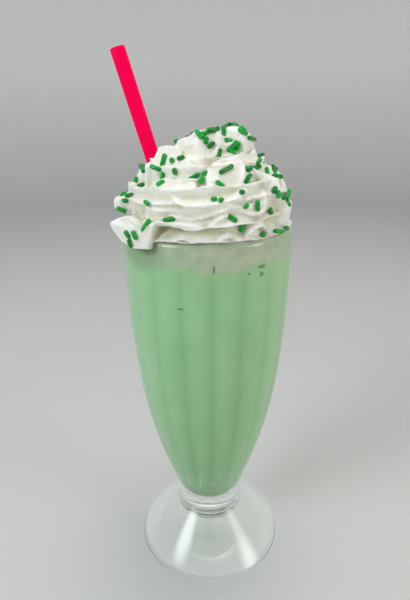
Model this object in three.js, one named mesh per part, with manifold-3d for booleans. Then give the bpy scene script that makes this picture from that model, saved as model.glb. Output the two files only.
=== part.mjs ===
// A mint milkshake with whipped cream, sprinkles and a straw, in a footed soda-fountain glass.
// Millimetres, +Z up. The origin is on the glass's axis, on the surface that the foot stands on.
// An azimuth of 0 is the front (-Y), and azimuths grow towards +X.
import * as THREE from 'three';
import Module from 'manifold-3d';
import { mergeVertices } from 'three/addons/utils/BufferGeometryUtils.js';
import { ConvexGeometry } from 'three/addons/geometries/ConvexGeometry.js';
import { ParametricGeometry } from 'three/addons/geometries/ParametricGeometry.js';

const wasm = await Module();
wasm.setup();
const { clamp, degToRad, smoothstep } = THREE.MathUtils;

// Driving dimensions of the glass
const rimHeight = 190;
const rimRadius = 40.4;
const rimWall = 2.4;
const floorWall = 4.6;
const footRadius = 40.9;
const footRestRadius = 37.2;
const footHollow = 12.5;
const neckRadius = 17.4;
const neckFoot = 26.6;
const neckTop = 36;
const cavityFloor = 33;
const floorRound = 15;

// Driving dimensions of the flutes pressed into the bowl
const fluteCount = 18;
const stepsPerFlute = 3;
const flutePhase = degToRad(2.5);
const fluteDepth = 0.9;
const fluteStart = 42;
const fluteEnd = 182;
const fluteFade = 14;

// Driving dimensions of what fills the glass
const clearance = 0.3;
const drinkLevel = 178;
const drinkWave = 1.6;
const foamLevel = 187.2;
const creamBase = foamLevel + clearance;

// Driving dimensions of the straw, from the top on the left to its end near the bowl's right wall
const strawRadius = 3.4;
const strawBore = 2.95;
const strawTop = new THREE.Vector3(-38.5, 7, 266.9);
const strawEnd = new THREE.Vector3(18, -2.1, 72);

// Driving dimensions of the piped rope of cream
const ropeTurns = 3.4;
const ropeVanishing = 4.1;
const ropeStart = degToRad(-50);
const ropeRing = 31;
const ropeRoundness = 1.2;
const ropeBase = 197.2;
const ropePitch = 7.8;
const ropeLift = 2.2;
const ropeLiftFrom = 2.6;
const ropeDrift = 5;
const ropeThickness = 10.4;
const ropeThinning = 2.6;
const ropeLump = 0.35;
const ropeRidges = 9;
const ropeRidgeDepth = 0.2;
const ropeSteps = 72;
const stepsPerStretch = 9;

// Lobes where the cream ends in its peak, slumps over the rim or folds: place, half sizes and tilt.
// Squareness runs from 0 for a ball towards 1 for a box, and ridges run down a lobe's sides.
const creamLobes = [
  { azimuth: 85, ring: 10.5, height: 224.6, depth: 10.5, width: 10, tall: 10.2, squareness: 0.1, ridges: 6 },
  { azimuth: -60, ring: 27, height: 212, depth: 8.5, width: 8, tall: 8.6, tilt: -8 },
  { azimuth: -70, ring: 36, height: 203.5, depth: 8, width: 9, tall: 4.8, tilt: -8 },
  { azimuth: 50, ring: 30.5, height: 204.5, depth: 10, width: 4.8, tall: 12, tilt: 12 },
  { azimuth: 74, ring: 31, height: 203, depth: 9.5, width: 4.8, tall: 12, tilt: -6 },
];
const lobeTilt = 0;
const lobeSquareness = 0.2;
const lobeRidges = 0;
const lobeRidgeDepth = 0.13;
const lobeSegments = 14;

// The rope's squared end, which hangs over the rim at the front left: corners of its face, and the way in
const flapFace = [
  new THREE.Vector3(-42.1, -25, 197),
  new THREE.Vector3(-37.5, -27, 188.8),
  new THREE.Vector3(-31.6, -31.5, 186.9),
  new THREE.Vector3(-25.5, -35, 187.4),
  new THREE.Vector3(-22.2, -37, 197.9),
  new THREE.Vector3(-34.2, -28, 200.5),
];
const flapInwards = new THREE.Vector3(6.2, 10.3, -2);

// Driving dimensions of the sprinkles
const sprinkleCount = 66;
const sprinkleRadius = 0.85;
const sprinkleShortest = 3.4;
const sprinkleSpread = 2.6;
const sprinkleSides = 5;
const sprinkleLowest = 195;
const sprinkleSeed = 41;

const segments = fluteCount * stepsPerFlute;
const weldDistance = 0.001;

// Heights of the rings that the cavity and its filling share, so that their facets stay parallel
const cavityRings = [34.6, 38, 43.5, 51, 62, 76, 94, 115, 138, 160, 172, drinkLevel, 183, foamLevel];

// The bowl's outside, as radius and height.
const bowlOutline = new THREE.CatmullRomCurve3([
  new THREE.Vector3(neckRadius, 0, neckTop),
  new THREE.Vector3(20.4, 0, 45),
  new THREE.Vector3(25.5, 0, 60),
  new THREE.Vector3(31.2, 0, 80),
  new THREE.Vector3(36.05, 0, 105),
  new THREE.Vector3(39.15, 0, 135),
  new THREE.Vector3(40.5, 0, 165),
  new THREE.Vector3(rimRadius, 0, rimHeight),
], false, 'centripetal');

// Radius of the bowl's outside at one height, found by halving the stretch of curve that holds it.
function bowlRadius(height) {
  let low = 0;
  let high = 1;
  for (let step = 0; step < 30; step += 1) {
    const middle = (low + high) / 2;
    if (bowlOutline.getPoint(middle).z < height) low = middle;
    else high = middle;
  }
  return bowlOutline.getPoint(low).x;
}

// Radius of the bowl's inside: the wall thickens downwards, and a round joins it to the floor.
function cavityRadius(height) {
  const fall = clamp((rimHeight - height) / (rimHeight - cavityFloor), 0, 1);
  const wall = rimWall + (floorWall - rimWall) * fall ** 2;
  return (bowlRadius(Math.max(height, neckTop)) - wall) * floorReach(height);
}

// Share of the cavity's full radius that the rounded floor reaches at one height.
function floorReach(height) {
  const rise = clamp((height - cavityFloor) / floorRound, 0, 1);
  return Math.sqrt(1 - (1 - rise) ** 2);
}

// A flute is a soft convex lobe, so the radius is smallest in the crease between two of them.
function fluteOffset(azimuth, height) {
  const rise = smoothstep(height, fluteStart, fluteStart + fluteFade);
  const fall = 1 - smoothstep(height, fluteEnd - fluteFade, fluteEnd);
  const lobe = Math.abs(Math.sin((azimuth - flutePhase) * fluteCount / 2));
  return -fluteDepth * rise * fall * (1 - lobe);
}

// Turns [radius, height] pairs about the axis, with the flutes wherever the height has them.
// heightShift gives what each point off the axis rises by, for its azimuth and height.
function turned(profile, heightShift = () => 0) {
  const points = profile.map(([radius, height]) => new THREE.Vector2(radius, height));
  const geometry = new THREE.LatheGeometry(points, segments, flutePhase);
  geometry.rotateX(Math.PI / 2);
  const position = geometry.attributes.position;
  for (let index = 0; index < position.count; index += 1) {
    const [x, y, z] = [position.getX(index), position.getY(index), position.getZ(index)];
    const radius = Math.hypot(x, y);
    if (radius > 0.001) {
      const azimuth = Math.atan2(x, -y);
      const scale = 1 + fluteOffset(azimuth, z) / radius;
      position.setXYZ(index, x * scale, y * scale, z + heightShift(azimuth, z));
    }
  }
  return solid(geometry);
}

// A closed solid from a geometry: shared points merged, faces outwards, none without area.
function solid(geometry) {
  geometry.deleteAttribute('normal');
  geometry.deleteAttribute('uv');
  const merged = mergeVertices(geometry, weldDistance);
  const faces = [];
  for (let start = 0; start < merged.index.count; start += 3) {
    const face = [0, 1, 2].map((corner) => merged.index.getX(start + corner));
    if (new Set(face).size === 3) faces.push(face);
  }
  const body = manifoldOf(merged, faces);
  return body.volume() > 0 ? body : manifoldOf(merged, faces.map((face) => face.reverse()));
}

function manifoldOf(geometry, faces) {
  return new wasm.Manifold(new wasm.Mesh({
    numProp: 3,
    vertProperties: new Float32Array(geometry.attributes.position.array),
    triVerts: new Uint32Array(faces.flat()),
  }));
}

// The geometry of a solid, ready for a mesh.
function geometryOf(body) {
  const mesh = body.getMesh();
  const geometry = new THREE.BufferGeometry();
  geometry.setAttribute('position', new THREE.BufferAttribute(mesh.vertProperties, 3));
  geometry.setIndex(new THREE.BufferAttribute(mesh.triVerts, 1));
  return geometry;
}

// The largest body of a solid: loose scraps are dropped, and sealed hollows are filled.
// Points that lie closer than the weld distance are merged first, so that no thin fin hangs on.
function largest(body) {
  const welded = solid(geometryOf(body));
  return welded.decompose().reduce((best, next) => (next.volume() > best.volume() ? next : best));
}

// Foot, neck and bowl are one piece of glass: solid in the neck and hollow under the foot.
function makeGlass() {
  const underFoot = [
    [0, footHollow],
    [12, footHollow - 1],
    [23, footHollow - 4],
    [31.5, footHollow - 8],
    [footRestRadius, 0],
  ];
  const footTop = [
    [footRadius - 0.6, 0],
    [footRadius, 0.8],
    [footRadius - 0.3, 1.6],
    [37.6, 5.2],
    [32.2, 11],
    [25.5, 17.4],
    [20.2, 22.8],
    [neckRadius + 0.9, neckFoot - 0.6],
    [neckRadius, neckFoot + 0.8],
  ];
  const outside = [neckTop, 41, 46, 53, 62, 73, 86, 102, 120, 140, 160, 172, 181, rimHeight - 2];
  const rim = [
    [rimRadius - 0.5, rimHeight - 0.4],
    [rimRadius - rimWall / 2, rimHeight],
    [rimRadius - rimWall + 0.4, rimHeight - 0.5],
  ];
  const inside = [...cavityRings].reverse();
  return turned([
    ...underFoot,
    ...footTop,
    ...outside.map((height) => [bowlRadius(height), height]),
    ...rim,
    ...inside.map((height) => [cavityRadius(height), height]),
    [0, cavityFloor],
  ]);
}

// The uneven line, right round the glass, where the drink ends and the melted cream begins.
function edgeWave(azimuth) {
  return drinkWave * (0.6 * Math.sin(2 * azimuth + 0.6) + 0.4 * Math.sin(5 * azimuth + 2));
}

// The drink fills the cavity up to the melted cream, and is cut round the straw.
function makeMilkshake() {
  const top = drinkLevel - clearance / 2;
  const rings = cavityRings.filter((height) => height < drinkLevel);
  const side = rings.map((height) => [
    cavityRadius(height) - clearance,
    height + clearance * (1 - floorReach(height)),
  ]);
  const wall = cavityRadius(drinkLevel) - clearance;
  const body = turned(
    [[0, cavityFloor + clearance], ...side, [wall, top], [wall / 2, top], [0, top]],
    (azimuth, height) => (height === Math.fround(top) ? edgeWave(azimuth) : 0),
  );
  return body.subtract(strawBar(strawRadius + clearance, 2, clearance));
}

// Cream that melts into the drink shows through the glass as a paler layer.
function makeMeltedCream() {
  const base = drinkLevel + clearance / 2;
  const rings = cavityRings.filter((height) => height > drinkLevel);
  const side = rings.map((height) => [cavityRadius(height) - clearance, height]);
  const wall = cavityRadius(drinkLevel) - clearance;
  const body = turned(
    [[0, base], [wall / 2, base], [wall, base], ...side, [0, foamLevel]],
    (azimuth, height) => (height === Math.fround(base) ? edgeWave(azimuth) : 0),
  );
  return body.subtract(strawBar(strawRadius + clearance, 2, 2));
}

// A round bar along the straw's centre line, longer than the straw by above and below.
function strawBar(radius, above, below) {
  const along = strawTop.clone().sub(strawEnd);
  const length = along.length();
  const bar = new THREE.CylinderGeometry(radius, radius, length + above + below, 16);
  bar.translate(0, (length + above - below) / 2, 0);
  const up = new THREE.Vector3(0, 1, 0);
  bar.applyQuaternion(new THREE.Quaternion().setFromUnitVectors(up, along.normalize()));
  bar.translate(strawEnd.x, strawEnd.y, strawEnd.z);
  return solid(bar);
}

function makeStraw() {
  return strawBar(strawRadius, 0, 0).subtract(strawBar(strawBore, 1, 1));
}

// Middle of the piped rope after some turns: a spiral on a dome that drifts to the right.
function ropeCentre(turn) {
  const azimuth = ropeStart + turn * 2 * Math.PI;
  const ring = ropeRing * (1 - (turn / ropeVanishing) ** 2) ** ropeRoundness;
  const drift = ropeDrift * (turn / ropeVanishing) ** 3;
  const lift = ropeLift * Math.max(0, turn - ropeLiftFrom) ** 2;
  return new THREE.Vector3(
    ring * Math.sin(azimuth) + drift,
    -ring * Math.cos(azimuth),
    ropeBase + ropePitch * turn + lift,
  );
}

// Half the rope's thickness: it thins as it climbs, swells in lumps and has blunt ends.
function ropeRadius(turn) {
  const thinning = ropeThinning * (turn / ropeTurns) ** 2;
  const lump = ropeLump * Math.sin(turn * 2 * Math.PI * 2.3 + 1);
  const start = Math.sqrt(clamp(turn / 0.05 + 0.2, 0, 1));
  const tip = Math.sqrt(clamp((ropeTurns - turn) / 0.1 + 0.3, 0, 1));
  return (ropeThickness - thinning + lump) * start * tip;
}

// A stretch of rope: a star-shaped section carried along the spiral, with a fan over each end.
function ropeStretch(firstStep, lastStep) {
  const rows = lastStep - firstStep + 2;
  const turnAt = (step) => ropeTurns * step / ropeSteps;
  return solid(new ParametricGeometry((around, along, target) => {
    const row = Math.round(along * rows);
    const step = clamp(firstStep + row - 1, firstStep, lastStep);
    const turn = turnAt(step);
    const azimuth = ropeStart + turn * 2 * Math.PI;
    const angle = around * 2 * Math.PI;
    const valley = 0.5 - 0.5 * Math.cos(angle * ropeRidges);
    const isEnd = row === 0 || row === rows;
    const reach = isEnd ? 0 : ropeRadius(turn) * (1 - ropeRidgeDepth * valley);
    const outwards = reach * Math.cos(angle);
    target.copy(ropeCentre(turn));
    target.x += outwards * Math.sin(azimuth);
    target.y -= outwards * Math.cos(azimuth);
    target.z += reach * Math.sin(angle);
  }, ropeRidges * 2, rows));
}

// The solid heart that the rope is wound about.
function creamHeart() {
  return turned([
    [0, creamBase - 1],
    [rimRadius - rimWall, creamBase - 1],
    [rimRadius - rimWall, rimHeight + 1],
    [31, 203],
    [23, 214],
    [10, 222],
    [0, 223],
  ]);
}

// A lobe of cream: a ball drawn towards a box, its depth pointing away from the axis.
function creamLobe({ azimuth, ring, height, depth, width, tall, ...shape }) {
  const { tilt = lobeTilt, squareness = lobeSquareness, ridges = lobeRidges } = shape;
  const soften = (value) => Math.sign(value) * Math.abs(value) ** (1 - squareness);
  const turn = degToRad(azimuth);
  const lean = new THREE.Euler(0, degToRad(tilt), turn, 'ZYX');
  const centre = new THREE.Vector3(ring * Math.sin(turn), -ring * Math.cos(turn), height);
  const geometry = new THREE.SphereGeometry(1, ridges ? ridges * 2 : lobeSegments, 9);
  const position = geometry.attributes.position;
  const point = new THREE.Vector3();
  for (let index = 0; index < position.count; index += 1) {
    point.fromBufferAttribute(position, index);
    const valley = 0.5 - 0.5 * Math.cos(ridges * Math.atan2(point.z, point.x));
    const side = 1 - lobeRidgeDepth * valley;
    point.set(soften(point.x) * width * side, soften(point.z) * depth * side, soften(point.y) * tall);
    point.applyEuler(lean).add(centre);
    position.setXYZ(index, point.x, point.y, point.z);
  }
  return solid(geometry);
}

// The rope's squared end: its face joined to the same face moved into the cream.
function creamFlap() {
  const behind = flapFace.map((corner) => corner.clone().add(flapInwards));
  return solid(new ConvexGeometry([...flapFace, ...behind]));
}

// The space that the cream keeps out of: the rim and wall with their clearance, and the filling.
function rimSpace() {
  const outer = rimRadius + clearance;
  const inner = rimRadius - rimWall - clearance;
  return turned([
    [0, creamBase],
    [inner, creamBase],
    [inner, rimHeight],
    [inner + 0.4, rimHeight + clearance],
    [outer - 0.4, rimHeight + clearance],
    [outer, rimHeight],
    [outer, drinkLevel],
    [0, drinkLevel],
  ]);
}

// A repeatable draw of numbers between 0 and 1.
function seededDraw(seed) {
  let state = seed;
  return () => {
    state = (state * 1664525 + 1013904223) % 4294967296;
    return state / 4294967296;
  };
}

// A sprinkle: a short five-sided rod with blunt ends.
function sprinkle(centre, axis, length) {
  const half = length / 2;
  const outline = [[0, -half], [sprinkleRadius, 0.5 - half], [sprinkleRadius, half - 0.5], [0, half]];
  const points = outline.map(([radius, height]) => new THREE.Vector2(radius, height));
  const rod = new THREE.LatheGeometry(points, sprinkleSides);
  const up = new THREE.Vector3(0, 1, 0);
  rod.applyQuaternion(new THREE.Quaternion().setFromUnitVectors(up, axis));
  rod.translate(centre.x, centre.y, centre.z);
  return solid(rod);
}

// Sprinkles strewn over the swirl: each drops towards its middle and lies half sunk where it lands.
function sprinklesOn(body) {
  const draw = seededDraw(sprinkleSeed);
  const target = new THREE.Mesh(geometryOf(body), new THREE.MeshBasicMaterial());
  const middle = new THREE.Vector3(2, 0, 198);
  const straw = new THREE.Line3(strawEnd, strawTop);
  const placed = [];
  while (placed.length < sprinkleCount) {
    const azimuth = draw() * 2 * Math.PI;
    const height = draw() ** 0.8;
    const flat = Math.sqrt(1 - height * height);
    const from = new THREE.Vector3(flat * Math.sin(azimuth), -flat * Math.cos(azimuth), height);
    const ray = new THREE.Raycaster(from.clone().multiplyScalar(90).add(middle), from.clone().negate());
    const hit = ray.intersectObject(target)[0];
    const length = sprinkleShortest + sprinkleSpread * draw();
    const spin = draw() * 2 * Math.PI;
    const normal = hit.face.normal.clone().add(from).normalize();
    const axis = new THREE.Vector3().crossVectors(normal, new THREE.Vector3(0, 0.1, 1)).normalize();
    axis.applyAxisAngle(normal, spin);
    const centre = hit.point.clone().addScaledVector(normal, 0.15);
    const reach = length / 2 + clearance;
    const nearStraw = straw.closestPointToPoint(centre, true, new THREE.Vector3()).distanceTo(centre);
    const crowded = placed.some((other) => other.centre.distanceTo(centre) < 3);
    if (centre.z > sprinkleLowest && nearStraw > strawRadius + reach && !crowded) {
      placed.push({ centre, axis, length });
    }
  }
  return placed.map(({ centre, axis, length }) => sprinkle(centre, axis, length));
}

// The whipped cream: heart, rope, flap and lobes in one, cut clear of the rim and round the straw.
function makeWhippedCream() {
  let body = creamHeart().add(creamFlap());
  for (let step = 0; step < ropeSteps; step += stepsPerStretch) {
    body = body.add(ropeStretch(step, step + stepsPerStretch));
  }
  for (const lobe of creamLobes) body = body.add(creamLobe(lobe));
  const channel = strawBar(strawRadius + clearance, 2, 2);
  body = largest(body.subtract(rimSpace()).subtract(channel));
  for (const rod of sprinklesOn(body)) body = body.add(rod);
  return largest(body.subtract(channel));
}

const looks = {
  glass: { color: 0xe4ece9, roughness: 0.04, metalness: 0, transparent: true, opacity: 0.35 },
  milkshake: { color: 0x8fc092, roughness: 0.35, metalness: 0 },
  melted_cream: { color: 0xb9c8ae, roughness: 0.4, metalness: 0 },
  whipped_cream: { color: 0xf1efe6, roughness: 0.55, metalness: 0 },
  straw: { color: 0xf2004f, roughness: 0.3, metalness: 0 },
};

const makers = {
  glass: makeGlass,
  milkshake: makeMilkshake,
  melted_cream: makeMeltedCream,
  whipped_cream: makeWhippedCream,
  straw: makeStraw,
};

const milkshake = new THREE.Group();
for (const [name, make] of Object.entries(makers)) {
  const mesh = new THREE.Mesh(geometryOf(largest(make())), new THREE.MeshStandardMaterial(looks[name]));
  mesh.geometry.computeVertexNormals();
  mesh.name = name;
  milkshake.add(mesh);
}

export default milkshake;
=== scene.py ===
# %% [markdown]
# # A mint milkshake, from glass to sprinkles
#
# A soda fountain serves this drink in a tall footed glass with fluted sides. Mint milkshake fills it to just
# under the rim, cream has begun to melt into the top of the drink, a swirl of whipped cream stands above the
# rim with green rod sprinkles on it, and a pink straw leans out on the left.
#
# The construction is already there as plain faceted solids. This lesson gives each of them its real surface.
# Nearly everything here is round or swept, so each shape can be written as a formula of two numbers: how far
# along, and how far round. numpy works such a formula out for a whole grid of points at once.

import math

import bpy
import numpy as np
from mathutils import Matrix, Vector
from mathutils.bvhtree import BVHTree


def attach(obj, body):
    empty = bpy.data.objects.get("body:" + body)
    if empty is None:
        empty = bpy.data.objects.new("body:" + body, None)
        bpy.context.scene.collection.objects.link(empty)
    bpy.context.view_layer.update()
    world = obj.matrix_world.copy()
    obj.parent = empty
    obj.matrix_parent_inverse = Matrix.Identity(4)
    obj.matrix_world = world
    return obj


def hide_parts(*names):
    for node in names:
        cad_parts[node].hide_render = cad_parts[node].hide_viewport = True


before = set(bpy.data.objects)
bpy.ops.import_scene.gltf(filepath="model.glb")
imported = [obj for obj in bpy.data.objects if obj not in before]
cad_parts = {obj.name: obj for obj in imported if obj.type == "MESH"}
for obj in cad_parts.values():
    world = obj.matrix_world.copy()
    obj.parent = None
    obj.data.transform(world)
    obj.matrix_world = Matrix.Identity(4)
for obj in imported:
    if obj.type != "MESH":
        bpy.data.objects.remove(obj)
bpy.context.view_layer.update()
print("solids:", sorted(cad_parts))

# %% [markdown]
# ## The camera
#
# The picture was taken from close by and from above the rim, so the bowl seems to narrow downwards faster
# than it does, and the foot is seen from much steeper than the cream. A camera could be set by eye, but then
# no shape could be compared with the picture. So the ellipses of the rim and of the foot gave its height, its
# tilt and its lens. It was held a little crooked, and is rolled by two thirds of a degree.

# %% Set up the camera
MM = 0.001
camera_place = (-1.39 * MM, -224.49 * MM, 239.57 * MM)
camera_tilt, camera_roll = 68.42, -0.64
sensor_width, lens_length = 36, 28.21

camera_data = bpy.data.cameras.new("camera")
camera_data.sensor_width = sensor_width
camera_data.lens = lens_length
camera = bpy.data.objects.new("camera", camera_data)
camera.matrix_world = (
    Matrix.Translation(camera_place)
    @ Matrix.Rotation(math.radians(camera_tilt), 4, "X")
    @ Matrix.Rotation(math.radians(camera_roll), 4, "Z")
)
bpy.context.collection.objects.link(camera)
bpy.context.scene.camera = camera
print("camera tilt", camera_tilt, "lens", lens_length)

# %% [markdown]
# ## Working in grids
#
# A few helpers turn arrays into meshes. All sizes are in millimetres until the last moment, when the mesh is
# written in metres. A *skin* is a grid whose columns run round a piece and whose rows run along it, closed at
# both ends by a fan of triangles.

# %% Helpers for shapes
def ramp(value, low, high):
    """0 below low and 1 above high, with 3u² − 2u³ between, where u is the share of the way."""
    share = np.clip((value - low) / (high - low), 0, 1)
    return share * share * (3 - 2 * share)


def skin(points):
    """Vertices and faces of a closed skin over a grid of points: quads between neighbours, the columns
    joined round, and each end row closed by triangles to its middle."""
    rows, columns = points.shape[:2]
    here = np.arange(rows * columns).reshape(rows, columns)
    beside = np.roll(here, -1, axis=1)
    quads = np.stack([here[:-1], beside[:-1], beside[1:], here[1:]], axis=-1).reshape(-1, 4)
    low = np.full(columns, rows * columns)
    low_fan = np.stack([beside[0], here[0], low], axis=-1)
    high_fan = np.stack([here[-1], beside[-1], low + 1], axis=-1)
    ends = np.stack([points[0].mean(axis=0), points[-1].mean(axis=0)])
    return np.vstack([points.reshape(-1, 3), ends]), [quads, low_fan, high_fan]


def together(parts):
    """One list of vertices and faces from several, each one's numbers moved past those before it."""
    starts = np.cumsum([0] + [len(vertices) for vertices, _ in parts[:-1]])
    faces = [face + start for (_, group), start in zip(parts, starts) for face in group]
    return np.vstack([vertices for vertices, _ in parts]), faces


sharp_angle = 60


def make_piece(name, vertices, faces):
    """An object at the origin with its place in its mesh, written in metres and shaded smooth, but for
    edges that turn by more than the sharp angle, in degrees."""
    mesh = bpy.data.meshes.new(name)
    mesh.from_pydata((vertices * MM).tolist(), [], [row for group in faces for row in group.tolist()])
    mesh.update()
    mesh.shade_smooth()
    mesh.set_sharp_from_angle(angle=math.radians(sharp_angle))
    piece = bpy.data.objects.new(name, mesh)
    bpy.context.collection.objects.link(piece)
    return piece


def triangle_count(piece):
    """How many triangles the piece's own mesh comes to."""
    sides = np.empty(len(piece.data.polygons), np.int32)
    piece.data.polygons.foreach_get("loop_total", sides)
    return int((sides - 2).sum())


def smooth_curve(points, count):
    """A curve through a few points: on each stretch a cubic whose slope at a point is along the line
    between that point's two neighbours. The result has count points, spread evenly by stretch."""
    points = np.array(points, float)
    padded = np.vstack([2 * points[0] - points[1], points, 2 * points[-1] - points[-2]])
    place = np.linspace(0, len(points) - 1, count)
    stretch = np.clip(place.astype(int), 0, len(points) - 2)
    u = (place - stretch)[:, None]
    before, start, end, after = (padded[stretch + step] for step in range(4))
    slopes = (end - before) / 2, (after - start) / 2
    return (
        start
        + slopes[0] * u
        + (3 * (end - start) - 2 * slopes[0] - slopes[1]) * u**2
        + (2 * (start - end) + slopes[0] + slopes[1]) * u**3
    )


print("helpers ready")

# %% [markdown]
# Piped cream and poured drink have no straight edges, so their formulas need a smooth random number. Value
# noise is the simplest kind: random numbers sit on a lattice, and between its corners they are blended. The
# seed makes each run draw the same numbers.

# %% Helper for unevenness
lattice_side, lattice_shift = 32, 100


def noise(points, size, seed):
    """Smooth noise from −1 to 1 at each point: seeded random numbers at the corners of cubes of the given
    size, blended inside each cube by 3u² − 2u³ along its three directions. The lattice is shifted by some
    cubes and repeats after its last one."""
    lattice = np.random.default_rng(seed).uniform(-1, 1, (lattice_side, lattice_side, lattice_side))
    place = np.asarray(points) / size + lattice_shift
    corner = np.floor(place).astype(int)
    share = place - corner
    share = share * share * (3 - 2 * share)
    total = np.zeros(place.shape[:-1])
    for step in np.ndindex(2, 2, 2):
        weight = np.prod(np.where(np.array(step) == 1, share, 1 - share), axis=-1)
        index = (corner + step) % lattice_side
        total += weight * lattice[index[..., 0], index[..., 1], index[..., 2]]
    return total


print("noise at the origin:", round(float(noise(np.zeros((1, 3)), 5, 1)[0]), 3))

# %% [markdown]
# ## The glass
#
# Soda glasses are pressed: a plunger forms the bowl, and 18 flutes run down the outside with a crease between
# each two. Below the bowl the glass is solid through the neck, and it spreads into a domed foot with a hollow
# under it. A Screw modifier could turn an outline about the axis, but the bowl would stay round. In a formula
# the wall can also move in and out as it goes round, which gives the flutes and their sharp creases.

# %% Sizes of the bowl
flute_count = 18
flute_phase = math.radians(2.5)
flute_depth = 0.9
flute_low, flute_high, flute_fade = 42, 182, 14
rim_height, cavity_floor, floor_round = 190, 33, 15
rim_wall, extra_wall = 2.4, 2.2
neck_top = 36
outline_heights = np.array([36, 45, 60, 80, 105, 135, 165, 190], float)
outline_radii = np.array([17.4, 20.4, 25.5, 31.2, 36.05, 39.15, 40.5, 40.4])


def bowl_radius(height):
    """Radius of the bowl's outside at a height: a cubic on each stretch of the outline, whose slope at a
    point is the mean of the slopes on its two sides, weighted by the length of the other side."""
    steps = np.diff(outline_heights)
    rises = np.diff(outline_radii) / steps
    slopes = np.empty_like(outline_radii)
    slopes[1:-1] = (rises[:-1] * steps[1:] + rises[1:] * steps[:-1]) / (steps[1:] + steps[:-1])
    slopes[0] = 2 * rises[0] - slopes[1]
    slopes[-1] = 2 * rises[-1] - slopes[-2]
    index = np.clip(np.searchsorted(outline_heights, height) - 1, 0, len(steps) - 1)
    step = steps[index]
    u = (height - outline_heights[index]) / step
    held = (1 + 2 * u) * (1 - u) ** 2 * outline_radii[index] + u * u * (3 - 2 * u) * outline_radii[index + 1]
    bent = u * (1 - u) ** 2 * slopes[index] - u * u * (1 - u) * slopes[index + 1]
    return held + bent * step


def cavity_radius(height):
    """Radius of the bowl's inside: the outside less a wall that thickens downwards with the square of the
    depth, pulled in to the axis by a quarter circle at the floor."""
    fall = (rim_height - height) / (rim_height - cavity_floor)
    reach = np.sqrt(1 - (1 - np.clip((height - cavity_floor) / floor_round, 0, 1)) ** 2)
    return (bowl_radius(np.maximum(height, neck_top)) - rim_wall - extra_wall * fall**2) * reach


def flute_offset(azimuth, height):
    """How far the flutes move the wall: each is a round bulge, |sin| of half its turn, so that the creases
    between them are sharp and lie deepest. It fades in above the neck and out below the rim."""
    crease = 1 - np.abs(np.sin((azimuth - flute_phase) * flute_count / 2))
    fade_in = ramp(height, flute_low, flute_low + flute_fade)
    fade_out = 1 - ramp(height, flute_high - flute_fade, flute_high)
    return -flute_depth * crease * fade_in * fade_out


def turned(radius, height, azimuth):
    """Points at a radius and height, where azimuth 0 faces the front and grows towards the right."""
    return np.stack([radius * np.sin(azimuth), -radius * np.cos(azimuth), height + 0 * azimuth], axis=-1)


print("rim", 2 * bowl_radius(np.array([rim_height]))[0], "mm across")

# %% [markdown]
# Thick clear glass is all refraction, so its outside and its inside both have to be true, and they are one
# closed outline: from the middle of the hollow round the foot, up the bowl, over the rim and down inside. The
# foot and the rim are smooth curves through a few measured points, as radius and height.

# %% Turn the glass
foot_rest_radius, foot_hollow = 37.2, 12.5
rim_outside, rim_inside, floor_join = 187.5, 187.0, 6
steps_per_flute = 22
round_glass = flute_phase + np.linspace(0, 2 * np.pi, flute_count * steps_per_flute, endpoint=False)[None, :]

hollow_radius = foot_rest_radius * np.sin(np.linspace(0.02, np.pi / 2, 24))
hollow_height = foot_hollow * (1 - (hollow_radius / foot_rest_radius) ** 2.4)
foot_points = [(foot_rest_radius, 0), (40.2, 0.05), (40.9, 0.8), (40.5, 1.7), (37.6, 5.2), (32.2, 11),
               (25.5, 17.7), (20.4, 22.9), (18.4, 25.0), (18.2, 25.5), (18.6, 26.2), (18.5, 27.1),
               (17.6, 28.0), (17.4, 29.5), (17.4, 32), (17.4, neck_top)]
foot_side = smooth_curve(foot_points, 92)[1:]
outside_height = np.linspace(neck_top, rim_outside, 54)[1:]
rim_points = [(40.4, rim_outside), (40.2, 189.0), (39.5, 189.9), (38.7, 189.8), (38.1, 188.6),
              (38.0, rim_inside)]
rim_side = smooth_curve(rim_points, 16)[1:]
inside_height = np.linspace(rim_inside, cavity_floor + floor_join, 46)[1:]
floor_turn = np.linspace(np.arccos(1 - floor_join / floor_round), 0.01, 18)[1:]
floor_height = cavity_floor + floor_round * (1 - np.cos(floor_turn))

glass_radius = np.concatenate([
    hollow_radius, foot_side[:, 0], bowl_radius(outside_height), rim_side[:, 0],
    cavity_radius(inside_height), cavity_radius(floor_height),
])[:, None]
glass_height = np.concatenate([
    hollow_height, foot_side[:, 1], outside_height, rim_side[:, 1], inside_height, floor_height,
])[:, None]
glass_points = turned(glass_radius + flute_offset(round_glass, glass_height), glass_height, round_glass)
glass = make_piece("clear_glass", *skin(glass_points))
print("glass:", glass_points.shape[:2], "grid,", triangle_count(glass), "triangles")

# %% [markdown]
# ## The drink
#
# The milkshake fills the bowl, so its surface is the inside of the wall. If it stopped there or short of it,
# a film of air would show as a mirror between drink and glass. So it is worked out from the bowl's own
# formulas, and reaches a quarter of a millimetre into the glass. Its top is hidden, because cream has melted
# into the last centimetre and lies on it as a paler layer with a wavy lower edge.

# %% Fill the bowl
into_wall = 0.25
drink_level, foam_level, climb_level, drink_wave = 178, 187.4, 189.3, 1.6
round_drink = flute_phase + np.linspace(0, 2 * np.pi, flute_count * 16, endpoint=False)[None, :]


def edge_wave(azimuth):
    """Height of the wavy line where the pale layer meets the drink, about the drink's level: a sine wave
    that goes twice round the glass, and a smaller one that goes five times round it."""
    return drink_wave * (0.6 * np.sin(2 * azimuth + 0.6) + 0.4 * np.sin(5 * azimuth + 2))


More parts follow.
